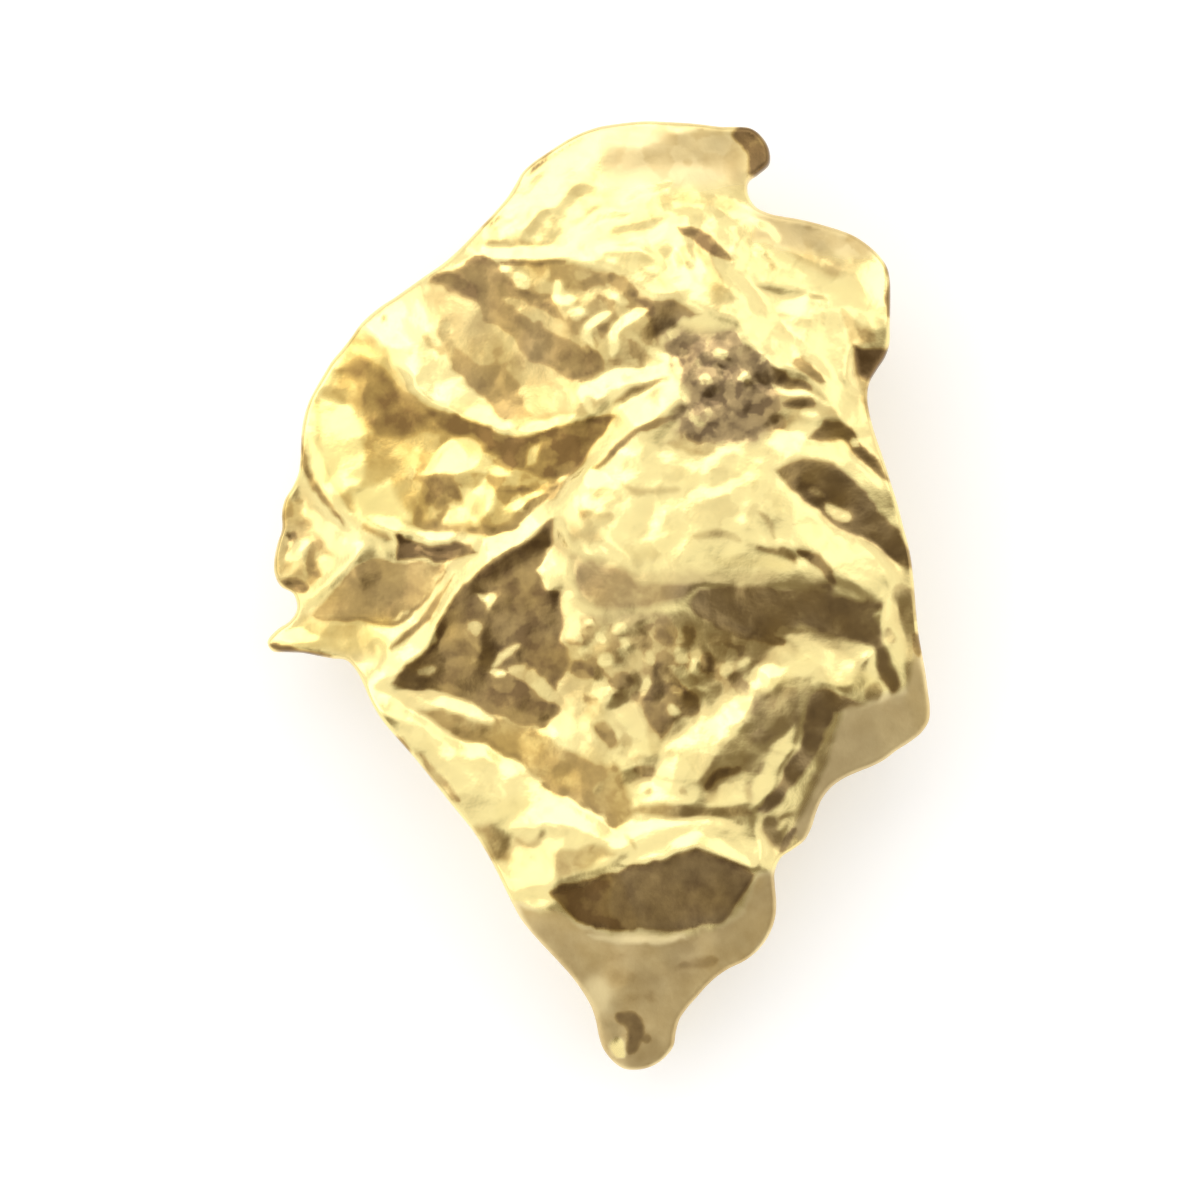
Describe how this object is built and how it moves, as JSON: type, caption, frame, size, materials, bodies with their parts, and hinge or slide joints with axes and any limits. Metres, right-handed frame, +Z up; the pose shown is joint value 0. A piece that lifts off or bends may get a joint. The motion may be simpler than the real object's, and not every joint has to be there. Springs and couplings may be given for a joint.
{
  "type": "gold nugget",
  "caption": "Flat kite-shaped gold nugget with a rounded head, a long spine ridge over a deep hollow, jumbled crystals, an open mouth and a drawn-out foot.",
  "frame": {"origin": "centre of the nugget's bounding box in plan, on the surface it lies on", "axes": "+Y from the drawn-out foot to the rounded head, +Z up out of the rough upper side, +X towards the heel"},
  "size_m": [0.0132, 0.019, 0.0048],
  "materials": {
    "gold": "natural metal, glossy on crests and matte on worn faces"
  },
  "bodies": {
    "root": {"nugget": "gold"}
  },
  "joints": []
}
